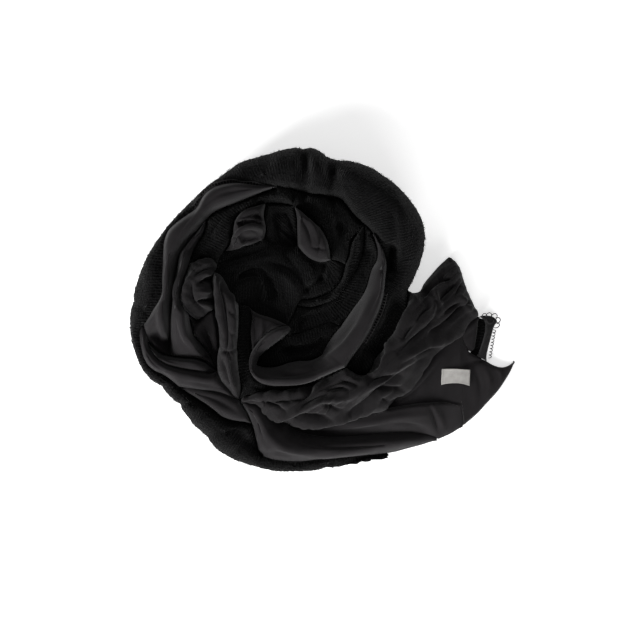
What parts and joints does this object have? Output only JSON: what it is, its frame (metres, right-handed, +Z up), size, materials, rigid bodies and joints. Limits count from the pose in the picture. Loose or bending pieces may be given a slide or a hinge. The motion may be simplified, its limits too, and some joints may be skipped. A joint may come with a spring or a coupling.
{
  "type": "scarf",
  "caption": "Long black scarf of boucle, plain crepe and smocked crepe, wound into a loose flat nest with its labelled end lying out to one side.",
  "frame": {"origin": "middle of the bounding box's underside, on the surface that the scarf lies on", "axes": "+Z up, away from that surface; +X from the wound nest towards the labelled end; +Y to the nest's far side as seen in the view from above"},
  "size_m": [0.387, 0.3243, 0.0904],
  "materials": {
    "boucle": "nubby knit",
    "crepe": "matt with a soft sheen",
    "smocked_crepe": "matt, puckered",
    "trim": "matt",
    "woven_label": "matt woven tape",
    "hidden": "matt"
  },
  "bodies": {
    "root": {"boucle_outer_turn": "boucle", "boucle_right_turn": "boucle", "boucle_left_turn": "boucle", "boucle_inner_turn": "boucle", "boucle_inner_fold": "boucle", "boucle_low_turn": "boucle", "boucle_low_fold": "boucle", "boucle_pocket": "boucle", "boucle_centre": "boucle", "seam_strip": "boucle", "crepe_left_turn": "crepe", "crepe_left_fold": "crepe", "crepe_return": "crepe", "crepe_bright_ridge": "crepe", "crepe_low_flap": "crepe", "crepe_edge_roll": "crepe", "crepe_end_fold": "crepe", "crepe_end_panel": "crepe", "crepe_hem_band": "crepe", "crepe_crescent": "crepe", "crepe_small_petal": "crepe", "crepe_bright_petal": "crepe", "crepe_ruffle": "crepe", "crepe_tuck": "crepe", "smocked_end": "smocked_crepe", "smocked_turn": "smocked_crepe", "smocked_bun": "smocked_crepe", "loop_trim": "trim", "label": "woven_label", "hidden_layers": "hidden"}
  },
  "joints": []
}
